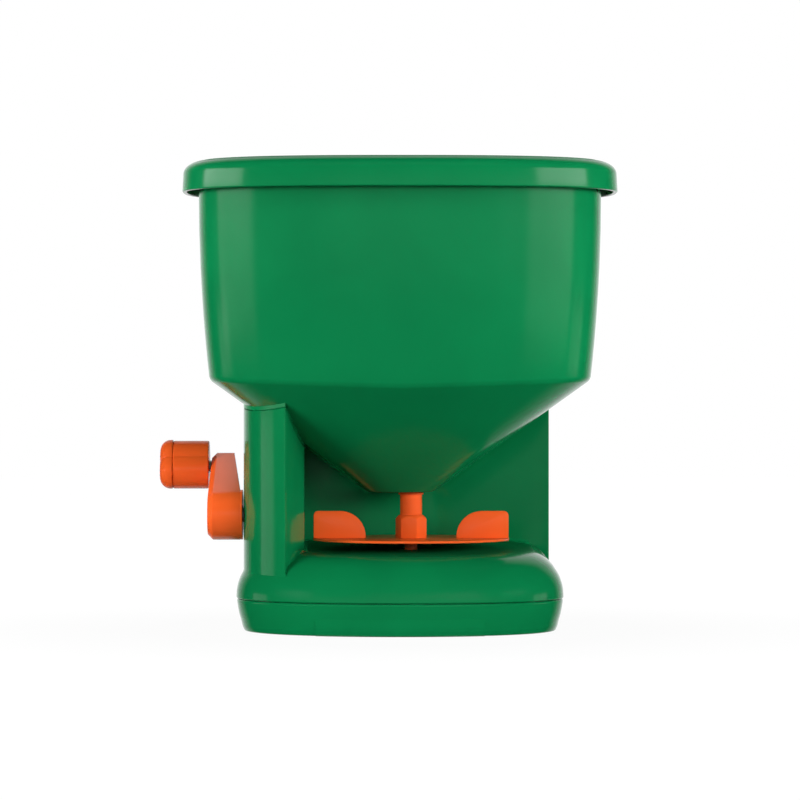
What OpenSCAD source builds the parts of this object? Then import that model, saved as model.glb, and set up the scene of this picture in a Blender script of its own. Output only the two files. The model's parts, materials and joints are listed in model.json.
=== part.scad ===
// Hand crank spreader: hopper over a gear tower, crank driven impeller, sliding flow gate, rear loop handle.
// Frame: +X right, +Y back, +Z up, origin at the centre of the base's bottom face, in mm.

/* [Hopper] */
// Half width of the rim
rim_a = 112; // [108:0.5:118]
// Half depth of the rim
rim_b = 78; // [74:0.5:84]
// Height of the rim's top over the table
rim_z = 241.2; // [236:0.2:250]
// Height of the rim band
rim_h = 15.9; // [12:0.1:20]
// How far the rim band stands out from the hopper wall
rim_out = 8.4; // [7:0.1:11]
// Half width where the wall turns into the funnel
crease_a = 98.1; // [92:0.1:100]
// Half depth where the wall turns into the funnel
crease_b = 66.5; // [62:0.1:68]
// Height of that crease at the front
crease_z = 125.5; // [122:0.1:129]
// Half width of the funnel's mouth at the bottom
nozzle_a = 17.6; // [17:0.1:20]
// Half depth of the funnel's mouth at the bottom
nozzle_b = 16; // [15:0.1:18]
// Squareness of the hopper's plan
hopper_n = 2.8; // [2.2:0.1:4]

/* [Base and tower] */
// Half width of the base at its waist
base_a = 84.4; // [82:0.1:88]
// Front reach of the base
base_front = 68; // [64:0.5:74]
// Rear reach of the base
base_rear = 74.7; // [74:0.1:80]
// Height of the deck
deck_z = 40; // [39:0.1:42]
// Step from the base's waist to the tower's skin
tower_in = 3.7; // [3:0.1:4.5]
// Face of the mouth's back wall
wall_y = 58; // [56:0.5:58.5]
// Top of the tower's rear saddle
saddle_z = 131; // [129:0.5:140]
// Moulded wall
wall = 2.4; // [2:0.1:2.8]

/* [Impeller] */
// Spindle axis, to the right of the middle
spin_x = 5.7; // [4:0.1:7]
// Disc diameter
disc_d = 101.3; // [90:0.1:104]
// Disc top
disc_z = 47.5; // [46.5:0.1:49]
// Blade top
blade_z = 61.4; // [56:0.1:64]
// Blade thickness
blade_t = 1.8; // [1.4:0.1:3]
// Turn of the hex hub
hub_turn = 8.5; // [0:0.5:30]

/* [Crank] */
// Height of the crank axis
crank_z = 59.5; // [58:0.1:60]
// Crank radius, axis to knob
crank_r = 51.8; // [45:0.1:60]
// Lean of the arm, up from straight back
crank_lean = 28; // [0:1:60]
// Arm's hub radius
hub_r = 13; // [11:0.1:15]
// Knob across its lobes
knob_d = 25.2; // [22:0.1:30]

/* [Gears] */
// Module of all gears
gear_m = 1.25; // [1.2:0.01:1.26]
// Flank clearance on each tooth
backlash = 0.13; // [0.08:0.01:0.25]

/* [Flow gate] */
// Full travel of the gate
gate_travel = 16; // [12:0.5:18]

/* [Handle] */
// Half width of the grip
grip_w = 13; // [11:0.5:16]
// Grip axis behind the origin
grip_y = 113; // [108:0.5:122]
// Height of the upper bridge
grip_top = 117; // [115:0.5:119]

/* [Hidden] */
$fn = 64;
green = [0.05, 0.46, 0.26];
orange = [0.88, 0.36, 0.14];
steel = [0.72, 0.73, 0.75];
nylon = [0.9, 0.89, 0.85];
brass = [0.76, 0.6, 0.3];
ring_n = 72;
step_a = 360 / ring_n;
seam_z = 17;
waist_z = 18.3;
sh_in = 20;
sh_up = deck_z - waist_z;
tower_a = base_a - tower_in;
tower_f = base_front - tower_in;
tower_r = base_rear - tower_in;
lay_z = crank_z - 32 * gear_m;
n_drive = 50;
n_pinion = 14;
n_bevel = 24;
n_spin = 16;
r_bevel = n_bevel * gear_m / 2;
r_spin = n_spin * gear_m / 2;
floor_lo = 76;
floor_hi = 78.5;
nozzle_z = 71;
side_rise = 4.6;
skin = 2.3;
wall_top_a = rim_a - rim_out;
wall_top_b = rim_b - rim_out;
rim_lo = rim_z - rim_h;
arm_out = -tower_a - 18.5;
hub_in = -tower_a - 0.5;
knob_y = crank_r * cos(crank_lean);
knob_z = crank_z + crank_r * sin(crank_lean);
knob_in = arm_out - 1.4;
knob_out = knob_in - 18.9;
mouth_l = -51.5;
posts_base = [[36, -34], [-36, -34], [50, 38], [-36, 44]];
posts_hopper = [[-66, 46, 96.5, 118.2], [45, 62, 106.5, 123.2], [-30, 63.5, 106.5, 122.6]];

// Superellipse point with its own reach and squareness in front and behind
function se(a, bf, br, nf, nr, t) = let (c = cos(t), s = sin(t), n = s < 0 ? nf : nr, b = s < 0 ? bf : br)
  [a * sign(c) * pow(abs(c), 2 / n), b * sign(s) * pow(abs(s), 2 / n)];
function hring(v) = [for (k = [0:ring_n - 1]) let (p = se(v[0], v[1], v[1], hopper_n, hopper_n, k * step_a))
  [p[0], p[1], v[2] + v[3] * pow(abs(p[0]) / v[0], 3)]];
function bxy(i, k) = se(base_a - i, base_front - i, base_rear - i, 2.2, 6, k * step_a);
function bring(i, z) = [for (k = [0:ring_n - 1]) let (p = bxy(i, k)) [p[0], p[1], z]];
function mix(p, q, t) = p * (1 - t) + q * t;
function bez(p, q, r, n) = [for (k = [0:n]) let (t = k / n) mix(mix(p, q, t), mix(q, r, t), t)];

// Solid skin through a list of rings, capped at both ends
module loft(r) {
  n = len(r[0]);
  m = len(r);
  pts = [for (q = r) for (p = q) p];
  low = [[for (k = [0:n - 1]) k]];
  high = [[for (k = [0:n - 1]) m * n - 1 - k]];
  side = [for (j = [0:m - 2]) for (k = [0:n - 1]) each let (a = j * n + k, b = j * n + (k + 1) % n)
    [[a, a + n, b + n], [a, b + n, b]]];
  polyhedron(points = pts, faces = concat(low, side, high));
}

module at_crank() {
  translate([0, 0, crank_z])
    rotate([0, 90, 0])
      children();
}

module rod_x(x0, x1, d, y = 0, z = 0) {
  translate([x0, y, z])
    rotate([0, 90, 0])
      cylinder(h = x1 - x0, d = d);
}

module hex_x(x0, x1, d, y = 0, z = 0) {
  translate([x0, y, z])
    rotate([0, 90, 0])
      cylinder(h = x1 - x0, d = d, $fn = 6);
}

module rod_z(x, y, z0, z1, d) {
  translate([x, y, z0])
    cylinder(h = z1 - z0, d = d);
}

module rod_y(x, z, y0, y1, d) {
  translate([x, y0, z])
    rotate([-90, 0, 0])
      cylinder(h = y1 - y0, d = d);
}

// Funnel's outer skin as a solid, moved by dz and grown by g
module funnel(dz, g) {
  loft([hring([nozzle_a + g, nozzle_b + g, nozzle_z + dz, 0]),
    hring([crease_a + g, crease_b + g, crease_z + dz, side_rise]),
    hring([crease_a + g + 1.5, crease_b + g + 1.2, 160, 0])]);
}

module tower_outline(i) {
  polygon([for (k = [0:ring_n - 1]) bxy(tower_in + i, k)]);
}

module mouth(i) {
  polygon([[mouth_l - 8.6 - i, -90], [mouth_l - 0.3 - i, wall_y - 3 + i], [mouth_l + 2.7 - i, wall_y + i],
    [20, wall_y + i], [95, wall_y - 9.2 + i], [95, -90]]);
}

module tower_section() {
  difference() {
    tower_outline(0);
    mouth(0);
  }
}

module tower_hollow() {
  difference() {
    tower_outline(wall);
    mouth(wall);
  }
}

module hopper_shell() {
  noz = [nozzle_a, nozzle_b, nozzle_z, 0];
  cre = [crease_a, crease_b, crease_z, side_rise];
  top = [wall_top_a, wall_top_b, rim_lo, 0];
  up = [0, 0, 2.85, 0];
  thin = [-skin, -skin, 0, 0];
  icre = mix(noz, cre, 0.9714) + up;
  itop = [wall_top_a - skin, wall_top_b - skin, rim_lo, 0];
  ifl = mix(noz, cre, (floor_hi - 2.85 - nozzle_z) / (crease_z - nozzle_z));
  lip = rim_z - 6.5;
  v = concat(
    [[nozzle_a - 2.2, nozzle_b - 2.2, floor_lo, 0], [nozzle_a - 2.2, nozzle_b - 2.2, nozzle_z, 0], noz],
    bez(mix(noz, cre, 0.965), cre, mix(cre, top, 0.035), 4),
    [top, [wall_top_a + 0.4, wall_top_b + 0.4, rim_z - 3.4, 0],
      [rim_a - 2.7, rim_b - 2.7, rim_z - 4.4, 0], [rim_a - 2.2, rim_b - 2.2, rim_lo, 0],
      [rim_a, rim_b, rim_lo, 0]],
    [for (t = [0, 22.5, 45, 67.5, 90])
      [rim_a - 0.5 - 6.5 * (1 - cos(t)), rim_b - 0.5 - 6.5 * (1 - cos(t)), lip + 6.5 * sin(t), 0]],
    [[wall_top_a - 1, wall_top_b - 1, rim_z, 0], [wall_top_a - 2, wall_top_b - 2, rim_z - 1, 0], itop],
    bez(mix(icre, itop, 0.035), icre, mix(icre, ifl + up, 0.035), 3),
    [[ifl[0], ifl[1], floor_hi, 0]]);
  loft([for (q = v) hring(q)]);
}

module hopper() {
  color(green)
    difference() {
      union() {
        hopper_shell();
        // collar that carries the column's line up into the funnel
        difference() {
          translate([0, 0, 92])
            linear_extrude(36)
              difference() {
                tower_section();
                tower_hollow();
                translate([-100, 50])
                  square([200, 60]);
                translate([0, -100])
                  square([100, 200]);
              }
          difference() {
            translate([-120, -90, 80])
              cube([240, 180, 100]);
            funnel(-1.8, 0.05);
          }
          funnel(1.2, -0.05);
        }
        for (p = posts_hopper)
          rod_z(p[0], p[1], p[2], p[3], 7);
        rod_z(spin_x, 0, floor_lo - 0.5, floor_hi + 0.3, 15);
        // ledge under the gate's left edge
        translate([-nozzle_a + 1, -7, 71.4])
          cube([4.4, 12, 1.3]);
      }
      rod_z(spin_x, 0, 70, 82, 10);
      // drop port
      translate([-12, -8, 70])
        cube([8, 14, 12]);
      // way out for the gate
      translate([-15.2, 5.4, 70])
        cube([32.4, 20, floor_lo - 70 - 0.01]);
      for (p = posts_hopper)
        rod_z(p[0], p[1], p[2] - 1, p[3] - 4, 2.6);
    }
}

module shoulder_skin() {
  inner = [for (t = [90, 72, 54, 36, 18, 0])
    bring(sh_in - (sh_in - wall) * cos(t), waist_z + (sh_up - wall) * sin(t))];
  outer = [for (t = [0:10:90]) bring(sh_in - sh_in * cos(t), waist_z + sh_up * sin(t))];
  loft(concat(inner, [bring(wall, seam_z + 0.6), bring(0.4, seam_z + 0.6), bring(0, seam_z + 1)], outer));
}

module body_shell() {
  color(green)
    difference() {
      union() {
        difference() {
          union() {
            shoulder_skin();
            translate([0, 0, 28])
              linear_extrude(saddle_z - 28)
                tower_section();
          }
          translate([0, 0, 20])
            linear_extrude(saddle_z - 20 - wall)
              tower_hollow();
          funnel(-2.1, 0.3);
        }
        // crank bearing bosses
        rod_x(-tower_a + 1, -tower_a + 7.2, 16, 0, crank_z);
        rod_x(mouth_l - 11, mouth_l - 4.2, 14, 0, crank_z);
        // webs that take the hopper screws
        translate([-77, 39.5, 94])
          cube([23.5, 13, 2.5]);
        translate([38.5, 56.2, 104])
          cube([13, 13.3, 2.5]);
        translate([-36.5, 59, 104])
          cube([13, 11, 2.5]);
        for (p = posts_base)
          rod_z(p[0], p[1], 6.4, deck_z - 1, 8);
        rod_z(spin_x, 0, deck_z - 2.6, deck_z + 0.6, 17);
      }
      rod_x(-tower_a - 2, -tower_a + 8, 11, 0, crank_z);
      rod_x(mouth_l - 12, mouth_l - 5.8, 10, 0, crank_z);
      rod_z(spin_x, 0, deck_z - 6, deck_z + 4, 11);
      for (p = posts_hopper)
        rod_z(p[0], p[1], p[2] - 5, p[2] + 1, 3.6);
      for (p = posts_base)
        rod_z(p[0], p[1], 5, 24, 2.8);
      for (x = [-6, 6])
        rod_y(x, grip_top, tower_r - 6, tower_r + 2, 3.6);
      // slot for the gate's strip
      translate([8.9, wall_y - 3, 72.6])
        cube([7.7, 24, 2.8]);
      // cord notch left bare, deck drain
      rod_z(spin_x, -30, deck_z - 5, deck_z + 2, 3);
    }
}

// Outer rings of the pan: inset and height
function pan_out() = [[7.4, 0], [5.4, 0.5], [4.1, 1.5], [3.15, 2.9], [2.3, 5.9], [1.4, 9], [0.85, 12.1],
  [0.3, 15.1], [0.5, seam_z - 0.6]];

module base_pan() {
  color(green)
    difference() {
      union() {
        loft(concat([for (q = pan_out()) bring(q[0], q[1])],
          [bring(2.8, seam_z - 0.6), bring(2.9, 19.6), bring(4.6, 19.6), bring(5, 12), bring(6, 5),
          bring(8, wall)]));
        translate([-78, -8, 1.5])
          cube([4.6, 16, lay_z + 6]);
        translate([-24, -8, 1.5])
          cube([6, 16, lay_z + 6]);
        rod_z(spin_x, 0, 1.5, 11, 11);
        for (p = posts_base)
          rod_z(p[0], p[1], 1.5, 6.1, 9);
        // stiffening ribs
        for (y = [-22, 22])
          translate([-60, y - 0.8, 1.5])
            cube([124, 1.6, 5]);
        for (x = [-46, 30])
          translate([x - 0.8, -40, 1.5])
            cube([1.6, 84, 5]);
      }
      rod_x(-79, -70, 10, 0, lay_z);
      rod_x(-25, -17, 11, 0, lay_z);
      rod_z(spin_x, 0, 4, 12, 8);
      for (p = posts_base) {
        rod_z(p[0], p[1], -1, 8, 3.6);
        rod_z(p[0], p[1], -1, 3.4, 7.2);
      }
      for (x = [-5, 5])
        rod_y(x, 9.2, base_rear - 12, base_rear + 4, 3.6);
    }
}

// Half section of the handle: outer bow then inner bow back
function half_sec(h, w) = let (n = 10, e = 2 / 2.5, k = 2.1) concat(
  [for (j = [0:n]) let (t = 90 - 180 * j / n)
    [h * sign(sin(t)) * pow(abs(sin(t)), e), 0.06 + w * pow(abs(cos(t)), e)]],
  [for (j = [0:n]) let (t = -90 + 180 * j / n)
    [(h - k) * sign(sin(t)) * pow(abs(sin(t)), e), 0.06 + (w - k) * pow(abs(cos(t)), e)]]);

// Stations of the loop: y, z, lean of the section, half height, half width
function loop_st() = let (r = 20, yb = grip_y - r, zb = 9.2) concat(
  [[tower_r + 0.25, grip_top, 90, 9.5, grip_w], [tower_r + 10, grip_top, 90, 9.5, grip_w]],
  [for (t = [0:15:90]) [yb + r * sin(t), grip_top - r + r * cos(t), 90 - t, 9.5 + 1.5 * t / 90, grip_w]],
  [[grip_y + 1.5, (grip_top + zb) / 2, 0, 12, grip_w + 1]],
  [for (t = [0:15:90]) [yb + r * cos(t), zb + r - r * sin(t), -t, 11 - 5 * t / 90, grip_w - 2 * t / 90]],
  [[base_rear + 9, zb, -90, 6, grip_w - 2], [base_rear - 2.4, zb, -100.5, 6, grip_w - 2]]);

module loop_half(side) {
  st = loop_st();
  m = len(st);
  n = 22;
  pts = [for (s = st) for (q = half_sec(s[3], s[4]))
    [side * q[1], s[0] + q[0] * cos(s[2]), s[1] + q[0] * sin(s[2])]];
  skin_f = [for (j = [0:m - 2]) for (k = [0:n - 1]) each let (a = j * n + k, b = j * n + (k + 1) % n)
    side < 0 ? [[a, b + n, a + n], [a, b, b + n]] : [[a, a + n, b + n], [a, b + n, b]]];
  ends = [for (j = [0, (m - 1) * n]) for (k = [0:9]) let (q = [j + k, j + k + 1, j + 20 - k, j + 21 - k])
    (j == 0) == (side < 0) ? [q[3], q[2], q[1], q[0]] : q];
  polyhedron(points = pts, faces = concat(skin_f, ends));
}

module handle_half(side) {
  y0 = tower_r + 0.25;
  zg = [grip_top - 32, 44];
  difference() {
    union() {
      loop_half(side);
      translate([side > 0 ? 0.06 : -10, y0, grip_top - 8])
        cube([9.94, 7, 16]);
      translate([side > 0 ? 0.06 : -9, base_rear + 0.6, 4.6])
        cube([8.94, 7, 9.2]);
      for (z = zg)
        rod_x(side > 0 ? 0.06 : -grip_w + 1, side > 0 ? grip_w - 1 : -0.06, 7, grip_y + 1, z);
    }
    for (z = zg) {
      rod_x(-grip_w + 3, grip_w - 3, side > 0 ? 2.6 : 3.2, grip_y + 1, z);
      if (side < 0)
        rod_x(-grip_w - 10, -grip_w + 4, 6.6, grip_y + 1, z);
    }
    rod_y(side * 6, grip_top, y0 - 1, y0 + 6, 2.6);
    rod_y(side * 5, 9.2, base_rear - 3, base_rear + 6, 2.6);
    // seat against the pan's side
    loft([for (q = pan_out()) bring(q[0] - 0.03, q[1])]);
  }
}

module handle_left_shell() {
  color(green)
    handle_half(-1);
}

module handle_right_shell() {
  color(green)
    handle_half(1);
}

module bush_x(x0, x1, od, id, z) {
  difference() {
    rod_x(x0, x1, od, 0, z);
    rod_x(x0 - 1, x1 + 1, id, 0, z);
  }
}

module bush_z(z0, z1, od, id) {
  difference() {
    rod_z(spin_x, 0, z0, z1, od);
    rod_z(spin_x, 0, z0 - 1, z1 + 1, id);
  }
}

module crank_outer_bush() {
  color(brass)
    bush_x(-tower_a + 0.3, -tower_a + 7.5, 10.96, 8.1, crank_z);
}

module crank_inner_bush() {
  color(brass)
    bush_x(mouth_l - 11, mouth_l - 5.9, 9.96, 6.1, crank_z);
}

module layshaft_left_bush() {
  color(brass)
    bush_x(-78, -73.3, 9.96, 6.1, lay_z);
}

module layshaft_right_bush() {
  color(brass)
    bush_x(-24.2, -17.8, 10.96, 7.1, lay_z);
}

module spindle_foot_bush() {
  color(brass)
    bush_z(4.1, 11.2, 7.96, 5.1);
}

module spindle_deck_bush() {
  color(nylon)
    bush_z(deck_z - 2.5, deck_z + 0.9, 10.96, 6.8);
}

module spindle_floor_bush() {
  color(nylon)
    bush_z(floor_lo - 0.3, floor_hi + 0.6, 9.96, 6.1);
}

module screw(l, d, hd) {
  difference() {
    union() {
      cylinder(h = l, d = d);
      translate([0, 0, -2])
        cylinder(h = 2, d = hd);
    }
    for (a = [0, 90])
      rotate([0, 0, a])
        translate([-hd * 0.3, -0.45, -2.1])
          cube([hd * 0.6, 0.9, 1.2]);
  }
}

module hopper_screws() {
  color(steel)
    for (p = posts_hopper)
      translate([p[0], p[1], p[2] - 2.6])
        screw(12, 2.5, 6);
}

module base_screws() {
  color(steel)
    for (p = posts_base)
      translate([p[0], p[1], 3.4])
        screw(16, 2.7, 6.4);
}

module handle_screws() {
  color(steel) {
    for (x = [-6, 6])
      translate([x, tower_r - wall - 0.05, grip_top])
        rotate([-90, 0, 0])
          screw(8, 2.5, 4.6);
    for (x = [-5, 5])
      translate([x, base_rear - 6.6, 9.2])
        rotate([-90, 0, 0])
          screw(12, 2.5, 5.4);
  }
}

module grip_screws() {
  color(steel)
    for (z = [grip_top - 32, 44])
      translate([-grip_w + 4, grip_y + 1, z])
        rotate([0, 90, 0])
          screw(2 * grip_w - 9, 2.5, 6);
}

// Involute flank angle at radius r for base radius rb
function inv(rb, r) = let (a = acos(min(1, rb / r))) tan(a) * 180 / PI - a;
// One tooth's half profile as radius and angle pairs, root to tip
function flank(rp, rb, rr, ra, half) = [for (k = [0:5]) let (r = mix(max(rr, rb), ra, k / 5))
  [r, half + inv(rb, rp) - inv(rb, r)]];
function gear_pts(z, m, add, ded, thick, turn) = let (rp = z * m / 2, rb = rp * cos(20), rr = rp - ded, ra = rp + add,
  half = thick / rp * 90 / PI, f = flank(rp, rb, rr, ra, half), n = len(f), foot = [rr, f[0][1]])
  [for (t = [0:z - 1]) let (c = turn + t * 360 / z) each concat(
    [[foot[0] * cos(c - foot[1]), foot[0] * sin(c - foot[1])]],
    [for (k = [0:n - 1]) [f[k][0] * cos(c - f[k][1]), f[k][0] * sin(c - f[k][1])]],
    [for (k = [n - 1:-1:0]) [f[k][0] * cos(c + f[k][1]), f[k][0] * sin(c + f[k][1])]],
    [[foot[0] * cos(c + foot[1]), foot[0] * sin(c + foot[1])]])];

shift = 0.2;
thick_0 = PI * gear_m / 2 - 2 * backlash;
thick_s = 2 * shift * gear_m * tan(20);

module crank_arm() {
  color(orange)
    difference() {
      union() {
        hull() {
          rod_x(arm_out + 2.8, hub_in - 1.4, hub_r * 2, 0, crank_z);
          rod_x(arm_out, arm_out + 3, hub_r * 2 - 5.6, 0, crank_z);
          rod_x(arm_out + 2.2, arm_out + 11.8, 14, knob_y, knob_z);
          rod_x(arm_out, arm_out + 2.6, 9.6, knob_y, knob_z);
        }
        rod_x(arm_out + 4, hub_in, hub_r * 2 - 1.2, 0, crank_z);
      }
      hex_x(arm_out + 4.2, hub_in + 1, 8.06, 0, crank_z);
      rod_x(arm_out - 1, arm_out + 5, 4.2, 0, crank_z);
      rod_x(arm_out - 1, arm_out + 2.4, 9, 0, crank_z);
      rod_x(arm_out - 1, arm_out + 9.4, 6, knob_y, knob_z);
    }
}

module crank_shaft() {
  color(steel)
    difference() {
      union() {
        hex_x(arm_out + 4.3, hub_in - 0.1, 8, 0, crank_z);
        rod_x(hub_in - 0.1, -69.6, 8, 0, crank_z);
        hex_x(-69.7, -62.8, 8, 0, crank_z);
        rod_x(-62.9, mouth_l - 6, 6, 0, crank_z);
      }
      rod_x(arm_out + 3, arm_out + 13, 3.2, 0, crank_z);
    }
}

module drive_gear() {
  color(nylon)
    difference() {
      union() {
        translate([-68.8, 0, crank_z])
          rotate([0, 90, 0])
            linear_extrude(5.8)
              polygon(gear_pts(n_drive, gear_m, gear_m * (1 - shift), gear_m * (1.25 + shift), thick_0 - thick_s, 0));
      }
      hex_x(-72, -62, 8.06, 0, crank_z);
      // six web windows
      for (a = [30:60:330])
        translate([-72, 0, crank_z])
          rotate([a, 0, 0])
            translate([0, -5, 12])
              cube([10, 10, 11]);
    }
}

module crank_screw() {
  color(steel)
    translate([arm_out + 2.3, 0, crank_z])
      rotate([0, 90, 0])
        screw(10, 3.1, 8);
}

module crank_clip() {
  color(steel)
    difference() {
      rod_x(-72.6, -71.8, 13, 0, crank_z);
      rod_x(-73, -71, 8, 0, crank_z);
      translate([-74, -1.5, crank_z])
        cube([4, 3, 9]);
    }
}

module knob_pin() {
  color(steel) {
    rod_x(knob_out + 0.2, arm_out + 9.3, 6, knob_y, knob_z);
    rod_x(knob_out + 0.2, knob_out + 2.6, 10, knob_y, knob_z);
  }
}

// Three lobes round the knob's axis, d across
module lobes(d) {
  r = d * 0.3;
  for (a = [90, 210, 330])
    rotate([0, 0, a])
      translate([d / 2 - r + 0.6, 0])
        circle(r = r);
  circle(r = d * 0.36);
}

module crank_knob() {
  color(orange)
    difference() {
      translate([knob_out, knob_y, knob_z])
        rotate([0, 90, 0])
          linear_extrude(knob_in - knob_out)
            lobes(knob_d);
      rod_x(knob_out - 1, knob_in + 1, 6.2, knob_y, knob_z);
      rod_x(knob_out - 1, knob_out + 3, 10.6, knob_y, knob_z);
    }
}

module knob_cap() {
  color(orange)
    intersection() {
      translate([knob_out - 7.3, knob_y, knob_z])
        rotate([0, 90, 0])
          linear_extrude(7.28)
            lobes(knob_d + 0.8);
      translate([knob_out + 7.4, knob_y, knob_z])
        sphere(r = 14.7);
    }
}

module layshaft() {
  color(steel) {
    rod_x(-77.8, -72.5, 6, 0, lay_z);
    hex_x(-72.6, -62.8, 7, 0, lay_z);
    rod_x(-62.9, -16.6, 7, 0, lay_z);
    hex_x(-16.7, -1.6, 7, 0, lay_z);
  }
}

module layshaft_pinion() {
  color(nylon)
    difference() {
      translate([-71.2, 0, lay_z])
        rotate([0, 90, 0])
          linear_extrude(8.2)
            polygon(gear_pts(n_pinion, gear_m, gear_m * (1 + shift), gear_m * (1.25 - shift), thick_0 + thick_s, 180 / n_pinion));
      hex_x(-73, -62, 7.06, 0, lay_z);
    }
}

// Bevel gear about +Z with its apex at the origin; the teeth run between cone distances
module bevel(z, rp, mate, turn, cut) {
  d = atan2(rp, mate);
  co = sqrt(rp * rp + mate * mate);
  rv = rp / cos(d);
  rb = rv * cos(20);
  rr = rv - 1.25 * gear_m;
  ra = rv + gear_m;
  f = flank(rv, rb, rr, ra, thick_0 / rv * 90 / PI);
  n = len(f);
  prof = [for (t = [0:z - 1]) let (c = turn + t * 360 / z) each concat(
    [[rr, c - f[0][1] / cos(d)]],
    [for (k = [0:n - 1]) [f[k][0], c - f[k][1] / cos(d)]],
    [for (k = [n - 1:-1:0]) [f[k][0], c + f[k][1] / cos(d)]],
    [[rr, c + f[0][1] / cos(d)]])];
  outer = [for (p = prof) [p[0] * cos(d) * cos(p[1]), p[0] * cos(d) * sin(p[1]), co / cos(d) - p[0] * sin(d)]];
  s = 1 - 5.5 / co;
  inner = [for (p = outer) p * s];
  m = len(outer);
  low = [0, 0, s * (co / cos(d) - rr * sin(d)) - cut];
  high = [0, 0, co / cos(d) - rr * sin(d)];
  pts = concat(inner, outer, [low, high]);
  polyhedron(points = pts, faces = concat(
    [for (k = [0:m - 1]) [k, (k + 1) % m, 2 * m]],
    [for (k = [0:m - 1]) each let (j = (k + 1) % m) [[k, k + m, j + m], [k, j + m, j]]],
    [for (k = [0:m - 1]) [m + (k + 1) % m, m + k, 2 * m + 1]]));
}

module layshaft_bevel() {
  color(nylon)
    difference() {
      union() {
        translate([spin_x, 0, lay_z])
          rotate([0, -90, 0])
            bevel(n_bevel, r_bevel, r_spin, 0, 0);
        translate([-12, 0, lay_z])
          rotate([0, 90, 0])
            cylinder(h = 7, d = 18, $fn = 12);
      }
      hex_x(-13, 3, 7.06, 0, lay_z);
    }
}

module layshaft_clip() {
  color(steel)
    difference() {
      rod_x(-73.28, -72.62, 10, 0, lay_z);
      rod_x(-74, -72, 6, 0, lay_z);
      translate([-74, -1.2, lay_z])
        cube([3, 2.4, 8]);
    }
}

module blade(side) {
  r = disc_d / 2;
  pts = concat([[23.4, disc_z - 0.5]],
    [for (t = [0:15:90]) [35.6 - 11.4 * pow(cos(t), 1.5), disc_z + 1.2 + (blade_z - disc_z - 1.2) * sin(t)]],
    [for (t = [90:-15:0]) [r - 2.6 + 2.4 * cos(t), blade_z - 2.4 + 2.4 * sin(t)]],
    [[r - 0.2, disc_z - 0.5]]);
  translate([spin_x, blade_t / 2, 0])
    rotate([90, 0, 0])
      linear_extrude(blade_t)
        polygon([for (p = pts) [side * p[0], p[1]]]);
}

module impeller_disc() {
  color(orange)
    difference() {
      union() {
        rod_z(spin_x, 0, disc_z - 1.3, disc_z, disc_d);
        blade(1);
        blade(-1);
        intersection() {
          translate([spin_x, 0, disc_z - 0.6])
            rotate([0, 0, hub_turn])
              cylinder(h = 12.5, r = 8.2, $fn = 6);
          translate([spin_x, 0, disc_z - 0.6])
            cylinder(h = 20, r1 = 16.9, r2 = 0);
        }
      }
      translate([spin_x, 0, disc_z - 3])
        rotate([0, 0, hub_turn])
          cylinder(h = 30, d = 9.06, $fn = 6);
    }
}

module impeller_spindle() {
  color(orange) {
    rod_z(spin_x, 0, 4.6, 11.5, 5);
    rod_z(spin_x, 0, 11.4, 28, 6);
    translate([spin_x, 0, 27.9])
      cylinder(h = 9.2, d = 6.9, $fn = 6);
    rod_z(spin_x, 0, 37, disc_z - 1.4, 6.7);
    translate([spin_x, 0, disc_z - 1.5])
      rotate([0, 0, hub_turn])
        cylinder(h = 13.6, d = 9, $fn = 6);
    rod_z(spin_x, 0, disc_z + 11.95, 70, 11.3);
    rod_z(spin_x, 0, 69.9, 70.9, 12.9);
    rod_z(spin_x, 0, 70.8, 79.6, 6);
    difference() {
      translate([spin_x, 0, 79.5])
        cylinder(h = 7, d = 6, $fn = 6);
      rod_x(-10, 20, 2, 0, 83);
    }
  }
}

module spindle_bevel() {
  color(nylon)
    difference() {
      union() {
        translate([spin_x, 0, lay_z])
          bevel(n_spin, r_spin, r_bevel, 180 + 180 / n_spin, 0);
        translate([spin_x, 0, lay_z + r_bevel + 0.4])
          cylinder(h = 1.9, d = 14, $fn = 12);
      }
      translate([spin_x, 0, lay_z])
        cylinder(h = 30, d = 6.96, $fn = 6);
    }
}

module agitator() {
  color(orange)
    difference() {
      union() {
        rod_z(spin_x, 0, 79.6, 86, 12);
        for (a = [20, 200])
          translate([spin_x, 0, 84])
            rotate([0, 62, a])
              cylinder(h = 17, d = 3.6);
      }
      translate([spin_x, 0, 79])
        cylinder(h = 9, d = 6.06, $fn = 6);
      rod_x(-10, 20, 2.04, 0, 83);
    }
}

module agitator_pin() {
  color(steel)
    rod_x(spin_x - 5.8, spin_x + 5.8, 1.98, 0, 83);
}

module flow_gate() {
  color(orange)
    translate([0, 0, 73])
      linear_extrude(2) {
        translate([-13.4, -8.6])
          square([12, 16.1]);
        translate([-14.4, 7.4])
          square([30.4, 5]);
        translate([9.5, 7.4])
          square([6.5, tower_r - 1]);
      }
}

module rate_tab() {
  color(orange)
    difference() {
      union() {
        translate([7.6, tower_r + 1, 70])
          cube([10.4, 5.4, 8]);
        translate([7.6, tower_r + 5, 69])
          cube([24, 3, 10]);
        for (x = [20.5, 24, 27.5])
          translate([x, tower_r + 7.9, 69.6])
            cube([1.2, 0.8, 8.8]);
      }
      translate([9.44, tower_r, 72.96])
        cube([6.62, 6.41, 2.08]);
    }
}

hopper();
body_shell();
base_pan();
handle_left_shell();
handle_right_shell();
crank_outer_bush();
crank_inner_bush();
layshaft_left_bush();
layshaft_right_bush();
spindle_foot_bush();
spindle_deck_bush();
spindle_floor_bush();
hopper_screws();
base_screws();
handle_screws();
grip_screws();
crank_arm();
crank_shaft();
drive_gear();
crank_screw();
crank_clip();
knob_pin();
crank_knob();
knob_cap();
layshaft();
layshaft_pinion();
layshaft_bevel();
layshaft_clip();
impeller_disc();
impeller_spindle();
spindle_bevel();
agitator();
agitator_pin();
flow_gate();
rate_tab();
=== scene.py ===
import json
import math

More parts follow.
